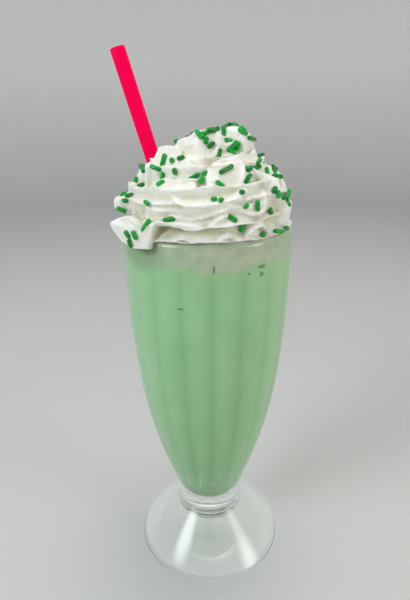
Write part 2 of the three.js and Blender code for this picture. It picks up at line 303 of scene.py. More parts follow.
def filling(height, climb=0.0):
    """A skin that fills the bowl along a grid of heights, one row above the other. Its end rows are drawn
    in to the axis as lids, and the upper lid sinks by the climb within the first fifth of the way."""
    radius = cavity_radius(height) + flute_offset(round_drink, height) + into_wall
    reach = np.linspace(0.02, 1, 24)[:-1, None]
    bottom = turned(radius[:1] * reach, height[:1] + 0 * reach, round_drink)
    sink = climb * (1 - ramp(reach[::-1], 0.8, 1.0))
    top = turned(radius[-1:] * reach[::-1], height[-1:] - sink, round_drink)
    return skin(np.concatenate([bottom, turned(radius, height, round_drink), top]))


edge_height = drink_level + edge_wave(round_drink)
low_turn = np.linspace(0.1, np.pi / 2, 24)[:-1]
low_height = cavity_floor + floor_round * (1 - np.cos(low_turn))
side_low = cavity_floor + floor_round
drink_height = np.concatenate([
    low_height[:, None] + 0 * round_drink,
    side_low + (edge_height - side_low) * np.linspace(0, 1, 70)[:, None],
])
drink = make_piece("mint_drink", *filling(drink_height))
layer_height = edge_height + (climb_level - edge_height) * np.linspace(0, 1, 18)[:, None]
melted_cream = make_piece("melted_cream_layer", *filling(layer_height, climb_level - foam_level))
print("drink:", triangle_count(drink), "triangles, melted cream:", triangle_count(melted_cream))

# %% [markdown]
# ## The whipped cream
#
# A star-shaped nozzle gives the rope of cream its ridges. The rope is laid from the front left, anticlockwise
# seen from above, in rings that grow smaller until it ends in a peak. The nozzle doesn't turn as the hand
# goes round, so each ridge keeps its side, and from the front the ridges show as long thin lines, one above
# the other, with deep smooth valleys between.
#
# A swirl could be sculpted, but its ridges would never run as evenly as a nozzle lays them. So the rope is a
# section carried along a spiral. The swirl is one connected body, though: the rope, the heart that it is
# wound on, the lobes where it slumps and its thin fins are separate closed skins at first, and a voxel remesh
# then melts them into one.

# %% The rope and its ridges
rope_start = math.radians(-50)
rope_turns, rope_vanish = 3.4, 4.1
rope_ring, rope_foot, rope_rise = 31, 197.2, 7.8
rope_thickness, ridge_count = 10.4, 9


def rope_place(turns):
    """Middle of the rope after some turns: a ring that shrinks as (1 − (turns / vanish)²)^1.2, drifts to
    the right, and climbs evenly at first and faster near the peak."""
    azimuth = rope_start + 2 * np.pi * turns
    ring = rope_ring * (1 - (turns / rope_vanish) ** 2) ** 1.2
    x = ring * np.sin(azimuth) + 5 * (turns / rope_vanish) ** 3
    height = rope_foot + rope_rise * turns + 2.2 * np.maximum(0, turns - 2.6) ** 2
    return azimuth, np.stack([x, -ring * np.cos(azimuth), height], axis=-1)


def rope_radius(turns):
    """The rope thins with the square of its turns, swells where the hand slows by a sine wave, and is
    rounded off at both ends by square roots."""
    radius = rope_thickness - 2.6 * (turns / rope_turns) ** 2 + 0.35 * np.sin(2 * np.pi * 2.3 * turns + 1)
    start = np.sqrt(np.clip(turns / 0.05 + 0.2, 0, 1))
    end = np.sqrt(np.clip((rope_turns - turns) / 0.1 + 0.3, 0, 1))
    return radius * start * end


def rope_skin(rows, columns):
    """A star-shaped section carried along the spiral. From ridge to valley the reach falls by |sin| of half
    the ridge's turn, which leaves sharp ridges and round valleys. Noise along the rope makes each ridge
    waver in reach and in angle, more at its tip than in the valley. Under the lowest ridge at the front
    the valley is deeper, because the rope was laid just clear of the rim there."""
    turns = np.linspace(0, rope_turns, rows)[:, None]
    angle = np.linspace(0, 2 * np.pi, columns, endpoint=False)[None, :]
    azimuth, centre = rope_place(turns[:, 0])
    length = np.concatenate([[0], np.cumsum(np.linalg.norm(np.diff(centre, axis=0), axis=1))])[:, None]
    ridge = np.round(angle * ridge_count / (2 * np.pi))
    along = np.stack(np.broadcast_arrays(length, ridge * 40, 0 * length), axis=-1)
    valley = np.abs(np.sin(ridge_count * angle / 2)) ** 0.8
    tip = 1 - valley
    ruffle = 0.06 * noise(along, 10, 3) + 0.06 * noise(along, 3.6, 4)
    depth = 0.31 + 0.07 * noise(along, 16, 5)
    below = np.degrees(np.mod(angle + np.pi, 2 * np.pi) - np.pi) + 24
    under = np.exp(-((below / 17) ** 4))
    depth = depth + under * (0.3 - 0.12 * ramp(turns, 0.09, 0.15) - 0.18 * ramp(turns, 0.3, 0.45))
    reach = rope_radius(turns) * (1.02 - depth * valley + ruffle * tip)
    sway = angle + tip * (0.14 * noise(along, 13, 6) + 0.08 * noise(along, 4, 7))
    outwards = reach * np.cos(sway)
    azimuth = azimuth[:, None]
    points = np.stack([
        centre[:, None, 0] + outwards * np.sin(azimuth),
        centre[:, None, 1] - outwards * np.cos(azimuth),
        centre[:, None, 2] + reach * np.sin(sway),
    ], axis=-1)
    return skin(points[:, ::-1])


rope_rows, rope_columns = 640, 162
rope = rope_skin(rope_rows, rope_columns)
print("rope:", len(rope[0]), "points")

# %% [markdown]
# The heart fills the middle, which nobody sees, so a plain turned dome will do. The rope alone would look
# like a drawing of a swirl. On a real one some rings fold and slump, and a lobe stands for such a bulge: a
# ball drawn towards a box, with ridges down its sides.

# %% The heart and the lobes
heart_points = [(0.5, 186.9), (35.5, 186.9), (36.5, 189.6), (36.5, 191), (31, 203), (23, 214), (10, 222),
                (0.5, 223)]


def heart_skin():
    """The dome under the rope: an outline of radii and heights, straight from point to point, turned about
    the axis."""
    outline = np.array(heart_points, float)
    place = np.linspace(0, len(outline) - 1, 80)
    radius = np.interp(place, np.arange(len(outline)), outline[:, 0])[:, None]
    height = np.interp(place, np.arange(len(outline)), outline[:, 1])[:, None]
    return skin(turned(radius, height, np.linspace(0, 2 * np.pi, 180, endpoint=False)[None, :]))


def lobe_skin(azimuth, ring, height, depth, width, tall, tilt=0, squareness=0.0, ridges=0):
    """A ball whose coordinates are raised to a power under one, which squares it, scaled to its depth away
    from the axis, its width round it and its height. Ridges run down its sides, and it is tilted sideways."""
    fall = np.linspace(0.02, np.pi - 0.02, 60)[:, None]
    turn = np.linspace(0, 2 * np.pi, 96, endpoint=False)[None, :]
    ball = np.stack(np.broadcast_arrays(
        np.sin(fall) * np.cos(turn), -np.sin(fall) * np.sin(turn), -np.cos(fall)), axis=-1)
    side = 1 - 0.22 * np.abs(np.sin(ridges * turn / 2)) ** 0.8
    soft = np.sign(ball) * np.abs(ball) ** (1 - squareness)
    local = soft * np.array([width, depth, tall])
    local[..., :2] *= side[..., None]
    lean = math.radians(tilt)
    across = local[..., 0] * math.cos(lean) + local[..., 2] * math.sin(lean)
    up = local[..., 2] * math.cos(lean) - local[..., 0] * math.sin(lean)
    azimuth = math.radians(azimuth)
    out = ring + local[..., 1]
    return skin(np.stack([
        out * math.sin(azimuth) + across * math.cos(azimuth),
        -out * math.cos(azimuth) + across * math.sin(azimuth),
        height + up,
    ], axis=-1))


print("heart:", len(heart_skin()[0]), "points")

# %% [markdown]
# In some places the cream ends in a flat face with squared edges: at the flap that hangs over the rim at the
# front left, at the dollop under the peak, beside the straw, and at a leaf to the right of the middle. A ball
# can't give such a face. So each of them is a block, whose corners were measured in the picture, and whose
# sides run inwards until they are lost in the swirl.

# %% Blocks with a flat face
face_scale = [0.03, 0.25, 0.5, 0.75, 0.93, 0.99, 1, 1, 1, 0.98, 0.9, 0.5]
face_inwards = [-0.06, -0.04, 0.0, 0.04, 0.02, 0.03, 0.07, 0.3, 0.6, 0.9, 1.0, 1.0]
face_crumple = 0.35


def block_skin(face, inwards):
    """A block with rounded edges. Its rows are copies of the face's outline, each scaled about the middle
    and moved inwards by a share of one direction: first from the middle out to the edge, which is slightly
    hollow, then down the sides. Noise crumples it along that direction."""
    corners = np.array(face, float)
    edge = np.concatenate([
        start + (end - start) * np.linspace(0, 1, 16, endpoint=False)[:, None]
        for start, end in zip(corners, np.roll(corners, -1, axis=0))
    ])
    middle = edge.mean(axis=0)
    inwards = np.array(inwards, float)
    scale = np.array(face_scale)
    share = np.array(face_inwards)
    points = middle + (edge - middle) * scale[:, None, None] + inwards * share[:, None, None]
    return skin(points + face_crumple * noise(points, 4, 41)[..., None] * inwards / np.linalg.norm(inwards))


flap_face = [(-42.1, -25, 197), (-41.0, -25.4, 193.6), (-37.5, -27, 188.8), (-31.6, -31.5, 186.9),
             (-25.5, -35, 187.4), (-24.2, -35.8, 191), (-22.2, -37, 197.9), (-28.2, -34, 197.0),
             (-31, -31.5, 199), (-34.2, -28, 200.5), (-37.6, -26, 199.3)]
dollop_face = [(-12.9, -15, 229.7), (-9.9, -15, 230.3), (-6.9, -15.1, 230.8), (-4, -14.1, 233),
               (0.7, -14.2, 233.4), (5.3, -15.2, 232.6), (6, -17.5, 229), (4.7, -19.2, 225.6),
               (3.4, -20.6, 223.3), (-1.6, -21.6, 221.7), (-5.7, -20.3, 223.1), (-9.1, -18, 224.8),
               (-12.7, -16.6, 226.6)]
side_face = [(-21.3, -11.5, 227), (-17.7, -13.5, 227.7), (-12.8, -16.7, 228), (-11.1, -19.9, 225),
             (-10.7, -23.4, 220.1), (-11.9, -26.8, 213.7), (-16.2, -25.8, 210.8), (-20.7, -22.7, 210.8),
             (-23.5, -17.8, 215.2), (-24.5, -13.8, 220.2)]
leaf_face = [(2.9, -25.9, 221.8), (7.5, -24, 222.9), (12.5, -22.6, 223.4), (16.1, -24, 220.7),
             (15.5, -28, 215.9), (13.2, -32.2, 211.4), (9.1, -33.8, 210.5), (4.3, -34.4, 211),
             (0.3, -34.3, 212.2), (-0.4, -30.9, 216.5), (0.8, -28.1, 219.7)]
lobes = [
    lobe_skin(80, 12.5, 224.6, 9.5, 9.8, 10.0, squareness=0.05, ridges=5),
    lobe_skin(10, 3, 227.6, 9, 9, 5.6),
    block_skin(dollop_face, (3, 11, -3)),
    block_skin(side_face, (5, 8, -4)),
    block_skin(leaf_face, (-2, 7.5, -7)),
    lobe_skin(-22, 20, 217, 8, 7, 7, tilt=-6, squareness=0.1, ridges=6),
    lobe_skin(-60, 27, 212, 8, 8.5, 8.6, tilt=-8, squareness=0.3, ridges=7),
    block_skin(flap_face, (6.2, 10.3, -2.5)),
    lobe_skin(-74, 35.5, 202.6, 8, 8, 4.8, tilt=-14, squareness=0.12, ridges=7),
    lobe_skin(50, 30.5, 204.5, 9, 4.4, 12, tilt=12, squareness=0.2, ridges=5),
    lobe_skin(74, 31, 203, 9, 4.6, 12, tilt=-6, squareness=0.2, ridges=5),
    lobe_skin(61, 32.5, 198, 8, 9, 7, squareness=0.1),
]
print("lobes and blocks:", len(lobes))

# %% [markdown]
# Between the ridges of the nozzle, cream tears and leaves fins of its own: thin sheets with a frayed edge. A
# texture could hint at them, but they throw shadows and break the outline, so each is a sheet along its own
# line. Those at the front are laid where the picture shows them, those at the back by a seeded draw, and a
# ruffled lip runs all round where the lowest ring spreads over the rim.

# %% Fins at the front
def fin_skin(line, depth, thickness, fray, droop=0.0, closed=False):
    """A sheet that stands out from the swirl. Its edge follows a smooth line through points given as
    azimuth, radius and height. Its section is a drop, thick inside and thin at the edge, and both ends
    are drawn in. Noise frays the edge."""
    azimuth, radius, height = smooth_curve(line, 14 * len(line)).T
    azimuth = np.radians(azimuth)
    edge = turned(radius, height, azimuth)
    edge[:, 2] += fray * (noise(edge, 5, 31) + 0.7 * noise(edge, 2.2, 32))
    share = np.linspace(-1, 1, len(edge))
    hold = np.ones(len(edge)) if closed else np.sqrt(np.clip(1.02 - share**8, 0, 1))
    hold = hold * (1 + 0.08 * fray * noise(edge, 3, 33))
    out = np.stack([np.sin(azimuth), -np.cos(azimuth), np.full(len(edge), droop)], axis=-1)
    out /= np.linalg.norm(out, axis=-1, keepdims=True)
    side = np.cross(np.gradient(edge, axis=0), out)
    side /= np.linalg.norm(side, axis=-1, keepdims=True)
    turn = np.linspace(0, 2 * np.pi, 24, endpoint=False)[None, :, None]
    reach = depth * ((np.cos(turn) + 1) / 2 * hold[:, None, None] - 1)
    swell = thickness / 2 * np.sin(turn) * (1 - 0.72 * np.cos(turn)) * hold[:, None, None]
    return skin(edge[:, None] + out[:, None] * reach + side[:, None] * swell)


front_fins = [
    fin_skin([(-32, 40, 198.4), (-24, 41, 198.2), (-18, 41, 197.7), (-12, 41.3, 196.9), (-7, 41.3, 196.6),
              (-2, 41.3, 197.0), (2, 41, 198.4), (6, 41, 200.2), (10, 40.8, 201.1), (17, 40, 201.5)],
             9, 3.0, 0.45, droop=-0.25),
    fin_skin([(-30, 39.5, 201.6), (-18, 40, 201.2), (-10, 40, 200.7), (-4, 40.2, 201.2), (2, 40, 202.2),
              (9, 40, 203.4), (17, 39, 205)], 7, 1.9, 0.35, droop=-0.1),
    fin_skin([(-25, 37.6, 209.2), (-21, 38.4, 207.5), (-16, 39.2, 206), (-7, 39.4, 205.6), (5, 39.4, 206.1),
              (11, 39.2, 207.2), (17, 38.9, 208.2), (23, 38.3, 209.2), (30, 37, 210.4)],
             8, 2.6, 0.3, droop=-0.2),
    fin_skin([(-62, 31.5, 208.8), (-52, 34.6, 209.3), (-41, 35.8, 209.7), (-32, 35.8, 210.6),
              (-23, 35.8, 211), (-14, 35.8, 211.7), (-6, 35.6, 212.2)], 8, 2.4, 0.35, droop=-0.25),
    fin_skin([(18, 39.6, 204.6), (25, 40.4, 202), (30, 40.6, 201), (35, 40.4, 202.2), (38, 39.6, 204.9),
              (40, 38.4, 207.8), (43, 36.5, 211)], 8, 3.2, 0.3, droop=-0.1),
    fin_skin([(33, 27, 221), (40, 32, 217.5), (46, 35.5, 214), (51, 37, 210.5), (54, 38, 207)], 8, 3.4, 0.3),
    fin_skin([(-31, 40.6, 190.9), (-25, 41, 191.2), (-19, 41.2, 191.5), (-16, 41.6, 192.6),
              (-12.5, 41.6, 192.5), (-9, 41.2, 191.2), (-4, 41, 191)], 5, 2.2, 0.35, droop=-0.2),
    fin_skin([(5, 41, 191.4), (9, 41.6, 193), (13, 41.6, 193.1), (17, 41.2, 191.8), (23, 41, 191.2)],
             5, 2.2, 0.35, droop=-0.2),
    fin_skin([(24, 40.4, 191.6), (26, 41, 194.2), (29.5, 41.3, 196.2), (34, 41.3, 196.4), (37.5, 41, 194.4),
              (40, 40.8, 192.4), (45, 40.6, 191)], 5, 2.4, 0.2, droop=-0.2),
]

print("fins:", len(front_fins), "in front")

# %% The lip and the fins at the back
lip_azimuth = [-180, -150, -120, -95, -70, -48, -30, -23, -17, -12, -7, -1, 3, 9, 14, 18, 23, 30, 36, 42, 48,
               61, 75, 95, 120, 150, 180]
lip_height = [191.6, 192.8, 191.2, 192.6, 191, 190.6, 190.7, 190.9, 190.9, 190.9, 191.1, 191.2, 191.6, 191.4,
              191.3, 191.4, 191.5, 190.8, 190.8, 191.4, 191.4, 192, 193.4, 191.4, 193, 191.3, 191.6]


def lip_skin():
    """The lowest fin as a closed ring over the rim, whose height is blended between known heights."""
    azimuth = np.linspace(-180, 180, 150)
    height = np.interp(azimuth, lip_azimuth, lip_height)
    radius = 40.5 + 0.5 * np.sin(np.radians(7 * azimuth))
    return fin_skin(np.stack([azimuth, radius, height], axis=-1), 9, 3.0, 0.3, droop=-0.1, closed=True)


back_fin_count = 14


def back_fins(count):
    """Fins at the sides and back, by a seeded draw: each follows the rope for a while at its own height."""
    draw = np.random.default_rng(8)
    fins = []
    for _ in range(count):
        first = draw.uniform(72, 250)
        azimuth = first + np.linspace(0, min(draw.uniform(25, 60), 282 - first), 6)
        share = draw.uniform(0.05, 0.75)
        radius = 40.4 - 22 * share**1.6 + draw.uniform(-0.3, 0.3, 6)
        height = 194.5 + 27 * share + 0.03 * (azimuth - first) + draw.uniform(-0.4, 0.4, 6)
        fins.append(fin_skin(np.stack([azimuth, radius, height], axis=-1), 7, draw.uniform(1.8, 3), 0.4,
                             droop=-0.2))
    return fins


cream = make_piece("piped_cream", *together(
    [rope, heart_skin(), lip_skin()] + lobes + front_fins + back_fins(back_fin_count)))
print("cream before melting:", triangle_count(cream), "triangles")

# %% [markdown]
# Skins that only pass through each other would show a hard line where they meet, and light under the skin
# would stop there. A voxel remesh keeps the outside of them all, and a little smoothing takes its steps away.

# %% Melt the cream into one skin
cream_voxel = 0.56


def melt(piece, voxel, rounds):
    """Remeshes a piece's overlapping skins into one, smooths it a little, and writes the result back."""
    remesh = piece.modifiers.new("melt", "REMESH")
    remesh.mode = "VOXEL"
    remesh.voxel_size = voxel * MM
    even = piece.modifiers.new("even", "SMOOTH")
    even.factor = 0.5
    even.iterations = rounds
    graph = bpy.context.evaluated_depsgraph_get()
    melted = bpy.data.meshes.new_from_object(piece.evaluated_get(graph), depsgraph=graph)
    piece.modifiers.clear()
    piece.data = melted
    piece.data.shade_smooth()


melt(cream, cream_voxel, 1)
print("cream melted:", triangle_count(cream), "triangles")

# %% [markdown]
# Melted, the skin is too even, so each point moves a little along its normal by noise. And where lobes and
# fins stack up at the sides, they reach past the outline that the swirl has in the picture. Moving one of
# them would spoil another place, so whatever stands out past a line of known reaches is drawn in by about
# two thirds of its excess. That keeps every form and brings the outline back.

# %% Dent the cream and hold it in
def vertices_of(piece):
    """The piece's vertices as an array in millimetres."""
    places = np.empty(len(piece.data.vertices) * 3, np.float32)
    piece.data.vertices.foreach_get("co", places)
    return places.reshape(-1, 3).astype(float) / MM


def normals_of(piece):
    """The piece's vertex normals as an array."""
    normals = np.empty(len(piece.data.vertices) * 3, np.float32)
    piece.data.vertex_normals.foreach_get("vector", normals)
    return normals.reshape(-1, 3).astype(float)


def place_vertices(piece, place):
    """Writes the piece's vertices back from an array in millimetres."""
    piece.data.vertices.foreach_set("co", (place * MM).astype(np.float32).ravel())
    piece.data.update()


def dent(piece, coarse, fine):
    """Moves each vertex along its normal by noise at two scales, and by soft creases along the lines where
    a third noise is 0. It moves least at the rim, where cream would touch the glass."""
    place = vertices_of(piece)
    crease = 0.25 - np.abs(noise(place * (1, 1, 0.6), 9, 53))
    depth = coarse * (noise(place, 7, 51) + 1.6 * crease) + fine * noise(place, 2.6, 52)
    depth *= ramp(place[:, 2], rim_height, rim_height + 6)
    place += normals_of(piece) * depth[:, None]
    place_vertices(piece, place)


side_height = [191, 196.5, 201.3, 206, 210.6, 213.3, 216, 220, 224, 228]
side_reach = [41.2, 40, 39, 37.3, 35.6, 34, 31.5, 27.5, 24.5, 22]
drawn_in = 0.65


def hold_in(piece):
    """At the sides and the back, draws in what stands out past the known reach at its height, by a fixed
    share of its excess. On the left this starts further back at the foot of the swirl, where the cream hangs
    over the rim."""
    place = vertices_of(piece)
    azimuth = np.degrees(np.arctan2(place[:, 0], -place[:, 1]))
    radius = np.hypot(place[:, 0], place[:, 1])
    excess = np.maximum(0, radius - np.interp(place[:, 2], side_height, side_reach))
    upper = ramp(place[:, 2], 204.5, 207)
    part = ramp(azimuth, 55, 70) + ramp(-azimuth, 84 - 30 * upper, 94 - 28 * upper)
    place[:, :2] *= (1 - drawn_in * part * excess / np.maximum(radius, 1))[:, None]
    place_vertices(piece, place)


coarse_dents, fine_dents = 0.45, 0.16
dent(cream, coarse_dents, fine_dents)
hold_in(cream)
print("cream:", triangle_count(cream), "triangles, from", vertices_of(cream).min(axis=0).round(1))

# %% [markdown]
# ## The straw
#
# An extruded plastic tube, thin enough for light to pass into its bore. A cylinder with a Solidify modifier
# would give the wall, but with square lips. So the wall's own outline, which closes on itself, is carried
# round the straw's axis: up the outside, over the rounded lip, down the inside and under the lower lip.

# %% Draw the straw
straw_top = np.array([-38.5, 7, 266.9])
straw_end = np.array([18, -2.1, 72])
straw_radius, straw_bore = 3.4, 3.0
straw_rows, straw_columns = 30, 48


def straw_skin():
    """Rows run up the outside, over the lip, down the bore and back under the lower lip. Columns run
    round the axis. The last row meets the first, so the tube is closed without end fans."""
    axis = straw_top - straw_end
    length = np.linalg.norm(axis)
    axis = axis / length
    side = np.cross(axis, [0, 1, 0])
    side /= np.linalg.norm(side)
    front = np.cross(axis, side)
    lip = np.linspace(-np.pi / 2, np.pi / 2, 7)
    half_wall = (straw_radius - straw_bore) / 2
    up = np.linspace(half_wall, length - half_wall, straw_rows)
    rows = np.concatenate([
        np.stack([np.full(straw_rows, straw_radius), up], axis=-1),
        np.stack([straw_radius - half_wall - half_wall * np.sin(lip[1:-1]),
                  length - half_wall + half_wall * np.cos(lip[1:-1])], axis=-1),
        np.stack([np.full(straw_rows, straw_bore), up[::-1]], axis=-1),
        np.stack([straw_bore + half_wall + half_wall * np.sin(lip[1:-1]),
                  half_wall - half_wall * np.cos(lip[1:-1])], axis=-1),
    ])
    turn = np.linspace(0, 2 * np.pi, straw_columns, endpoint=False)[None, :, None]
    around = side * np.cos(turn) + front * np.sin(turn)
    points = straw_end + axis * rows[:, None, 1:] + around * rows[:, None, :1]
    here = np.arange(len(rows) * straw_columns).reshape(len(rows), straw_columns)
    beside = np.roll(here, -1, axis=1)
    above = np.roll(here, -1, axis=0)
    corner = np.roll(beside, -1, axis=0)
    quads = np.stack([here, beside, corner, above], axis=-1).reshape(-1, 4)
    return points.reshape(-1, 3), [quads]


straw = make_piece("drinking_straw", *straw_skin())
print("straw:", triangle_count(straw), "triangles")

# %% [markdown]
# ## The sprinkles
#
# Rod sprinkles are short sugar rods with rounded ends. They lie where they fell. A particle system would
# strew them, but not where the picture shows them. So those are placed by its pixels: a ray through a pixel
# finds the cream, and the rod is laid along the surface there.

# %% Find the cream below a pixel
cream_tree = BVHTree.FromObject(cream, bpy.context.evaluated_depsgraph_get())
picture_width, picture_height = 410, 600
pixels_per_unit = camera_data.lens / camera_data.sensor_width * picture_height
camera_axes = np.array(camera.matrix_world.to_3x3())
camera_point = np.array(camera.matrix_world.translation)


def pixel_ray(x, y):
    """Direction from the camera through a pixel of the picture: the pixel's offset from the middle and the
    lens's length in pixels, turned as the camera is."""
    local = np.array([x - picture_width / 2, picture_height / 2 - y, -pixels_per_unit])
    direction = camera_axes @ local
    return direction / np.linalg.norm(direction)


def laid(normal, heading):
    """The rod's long direction: the heading without its part along the surface's normal."""
    heading = heading - normal * (heading @ normal)
    return heading / (np.linalg.norm(heading) + 1e-9)


print("cream found from", camera_point.round(4))

# %% Lay the seen sprinkles
# As pixel x, pixel y, turn on the picture in degrees and seen length in pixels.
seen_sprinkles = [
    (194, 131, 70, 7), (198, 134, -60, 8), (202, 128, 80, 9), (204, 134, 20, 8), (202, 138, -20, 7),
    (210, 131, 30, 8), (215, 131, 55, 9), (224, 132, 90, 10), (206, 141, 75, 8), (211, 145, 40, 9),
    (218, 154, 90, 11), (228, 141, 10, 7), (233, 144, 80, 9), (229, 149, 90, 10), (236, 148, 50, 9),
    (231, 152, 0, 9), (238, 146, 75, 8), (240, 131, 90, 5), (251, 139, 15, 8), (164, 161, 90, 14),
    (172, 161, 90, 5), (181, 159, 30, 8), (156, 168, -20, 12), (175, 171, 90, 6), (137, 172, 90, 9),
    (137, 180, 90, 6), (142, 186, -20, 7), (163, 177, 80, 9), (161, 184, 15, 9), (194, 178, 35, 13),
    (201, 180, 50, 8), (205, 174, 20, 7), (226, 170, 40, 19), (220, 185, -38, 11), (260, 157, 80, 8),
    (258, 161, 30, 6), (249, 168, 25, 8), (256, 167, 0, 8), (247, 179, 55, 13), (266, 173, -70, 11),
    (273, 170, -20, 9), (242, 193, -20, 5), (214, 200, 0, 6), (221, 201, 60, 5), (246, 206, 50, 4),
    (130, 196, -10, 8), (125, 201, -25, 6), (147, 204, -55, 7), (122, 209, -15, 11), (118, 214, 30, 5),
    (257, 206, -68, 11), (270, 212, 80, 7), (274, 190, 60, 8), (278, 194, -60, 8), (284, 197, 60, 9),
    (287, 203, 70, 8), (232, 219, -38, 12), (241, 227, 90, 10), (169, 221, 3, 13), (147, 226, 12, 11),
    (128, 234, -60, 9), (131, 243, -80, 9), (135, 235, -70, 10), (262, 236, 0, 4), (278, 232, 20, 10),
    (286, 229, 25, 5),
]
rod_radius, rod_columns = 1.02, 12
shortest_rod, longest_rod, most_shortened = 2.6, 7.5, 0.55
seen_rise, dropped_rise = 0.55, 0.5


def rod_points(centre, direction, normal, length):
    """A capsule: rings round a straight axis whose radius follows a quarter circle at each end."""
    cap = np.linspace(0.15, np.pi / 2, 4)
    radius = rod_radius * np.concatenate([np.sin(cap), np.sin(cap[::-1])])
    place = np.concatenate([-length / 2 + rod_radius * (1 - np.cos(cap)),
                            length / 2 - rod_radius * (1 - np.cos(cap[::-1]))])
    turn = np.linspace(0, 2 * np.pi, rod_columns, endpoint=False)[None, :, None]
    side = np.cross(direction, normal)
    around = normal * np.cos(turn) + side * np.sin(turn)
    return centre + direction * place[:, None, None] + around * radius[:, None, None]


def rod_skin(hit, normal, rise, direction, length):
    """A rod on the cream, whose middle is a share of its radius above the surface."""
    return skin(rod_points(np.array(hit) / MM + normal * rod_radius * rise, direction, normal, length))


rods = []
for x, y, turn, seen_length in seen_sprinkles:
    hit, normal, _, distance = cream_tree.ray_cast(Vector(camera_point), Vector(pixel_ray(x, y)))
    if hit is None:
        continue
    normal = np.array(normal)
    heading = camera_axes @ np.array([math.cos(math.radians(turn)), math.sin(math.radians(turn)), 0])
    direction = laid(normal, heading)
    shortening = max(most_shortened, abs(direction @ heading))
    length = np.clip(seen_length * distance / pixels_per_unit / MM / shortening, shortest_rod, longest_rod)
    rods.append(rod_skin(hit, normal, seen_rise, direction, length))
print("sprinkles seen in the picture:", len(rods))

# %% [markdown]
# The other sides can't be seen, but they were strewn by the same hand. Each of the rest is dropped towards
# the middle of the swirl from a seeded direction, and lies turned at random where it lands.

# %% Drop the rest on the other sides
dropped_count, lowest_sprinkle = 74, 194
swirl_middle, drop_from = [2, 0, 198], 80
draw = np.random.default_rng(11)
while len(rods) < len(seen_sprinkles) + dropped_count:
    azimuth = draw.uniform(70, 290)
    tilt = math.radians(draw.uniform(5, 80))
    turn = math.radians(azimuth)
    out = np.array([math.sin(turn) * math.cos(tilt), -math.cos(turn) * math.cos(tilt), math.sin(tilt)])
    aim = np.array(swirl_middle) + draw.uniform(-8, 8, 3)
    hit, normal, _, _ = cream_tree.ray_cast(Vector((aim + out * drop_from) * MM), Vector(-out))
    spin = draw.uniform(0, 2 * np.pi)
    length = 3.6 + 2.6 * draw.uniform()
    if hit is None or hit.z < lowest_sprinkle * MM:
        continue
    normal = np.array(normal)
    helper = np.cross(normal, [0.3, 0.5, 0.8])
    heading = helper * math.cos(spin) + np.cross(normal, helper) * math.sin(spin)
    direction = laid(normal, heading)
    rods.append(rod_skin(hit, normal, dropped_rise, direction, length))
sprinkles = make_piece("rod_sprinkles", *together(rods))
print("sprinkles:", len(rods), "rods,", triangle_count(sprinkles), "triangles")

# %% [markdown]
# ## Finishes
#
# Each finish is a small net of nodes that reads Object coordinates, so it stays put on its piece. A helper
# keeps the cells short: it makes a material, hands back its Principled shader, and adds nodes by name.

# %% Helpers for finishes
class Finish:
    """A material under construction, with its Principled shader and its coordinates."""

    def __init__(self, name):
        self.material = bpy.data.materials.new(name)
        self.material.use_nodes = True
        self.nodes = self.material.node_tree.nodes
        self.links = self.material.node_tree.links
        self.shader = self.nodes["Principled BSDF"]
        self.output = self.nodes["Material Output"]
        self.place = self.nodes.new("ShaderNodeTexCoord").outputs["Object"]

    def node(self, kind, **inputs):
        """Adds a node and sets or links its inputs: a key is an input's name with underscores for spaces."""
        made = self.nodes.new("ShaderNode" + kind)
        for key, value in inputs.items():
            self.feed(made.inputs[key.replace("_", " ")], value)
        return made

    def feed(self, socket, value):
        """Links a socket's value when it is another socket, and sets it when it is a number or colour."""
        if isinstance(value, bpy.types.NodeSocket):
            self.links.new(value, socket)
        else:
            socket.default_value = value

    def shade(self, **inputs):
        """Sets or links inputs of the Principled shader."""
        for key, value in inputs.items():
            self.feed(self.shader.inputs[key.replace("_", " ")], value)

    def speckle(self, size, detail):
        """Noise whose lumps are about the given size in millimetres."""
        made = self.node("TexNoise", Vector=self.place, Scale=1 / (size * MM), Detail=detail)
        return made.outputs["Fac"]

    def kept(self, name):
        """A number that was kept on the piece's vertices."""
        made = self.nodes.new("ShaderNodeAttribute")
        made.attribute_name = name
        return made.outputs["Fac"]

    def blend(self, factor, low, high):
        """A colour between two, by a factor."""
        made = self.nodes.new("ShaderNodeMix")
        made.data_type = "RGBA"
        self.feed(made.inputs["Factor"], factor)
        self.feed(made.inputs["A"], low)
        self.feed(made.inputs["B"], high)
        return made.outputs["Result"]

    def spread(self, value, low, high, new_low=0.0, new_high=1.0):
        """A value moved from one range to another and held inside it."""
        made = self.node("MapRange", Value=value, From_Min=low, From_Max=high,
                         To_Min=new_low, To_Max=new_high)
        return made.outputs["Result"]

    def combined(self, operation, first, second):
        """One step of arithmetic on two values."""
        made = self.nodes.new("ShaderNodeMath")
        made.operation = operation
        self.feed(made.inputs[0], first)
        self.feed(made.inputs[1], second)
        return made.outputs[0]

    def spot(self, centre, half_sizes, strength):
        """The strength inside an ellipsoid in millimetres and 0 outside, with a soft edge."""
        scale = [1 / (size * MM) for size in half_sizes]
        shift = [-place * MM * factor for place, factor in zip(centre, scale)]
        moved = self.node("Mapping", Vector=self.place, Location=shift, Scale=scale)
        length = self.nodes.new("ShaderNodeVectorMath")
        length.operation = "LENGTH"
        self.links.new(moved.outputs["Vector"], length.inputs[0])
        return self.spread(length.outputs["Value"], 1.15, 0.6, 0, strength)

    def bump(self, height, depth, strength):
        """A bump of some depth in millimetres."""
        made = self.node("Bump", Height=height, Distance=depth * MM, Strength=strength)
        self.shade(Normal=made.outputs["Normal"])


def colour(red, green, blue):
    """A colour as nodes want it."""
    return (red, green, blue, 1.0)


print("finish helpers ready")

# %% [markdown]
# ### Clear glass
#
# Pressed glass is smooth and has hardly any colour, so all that shows is what it bends and mirrors.
# Principled with full transmission bends light as the real wall does. A lamp's light can't find its way
# through such a surface except by chance, so for shadow rays alone the glass is swapped for a plainly clear
# shader. The drink is then lit as through a window, without grain.

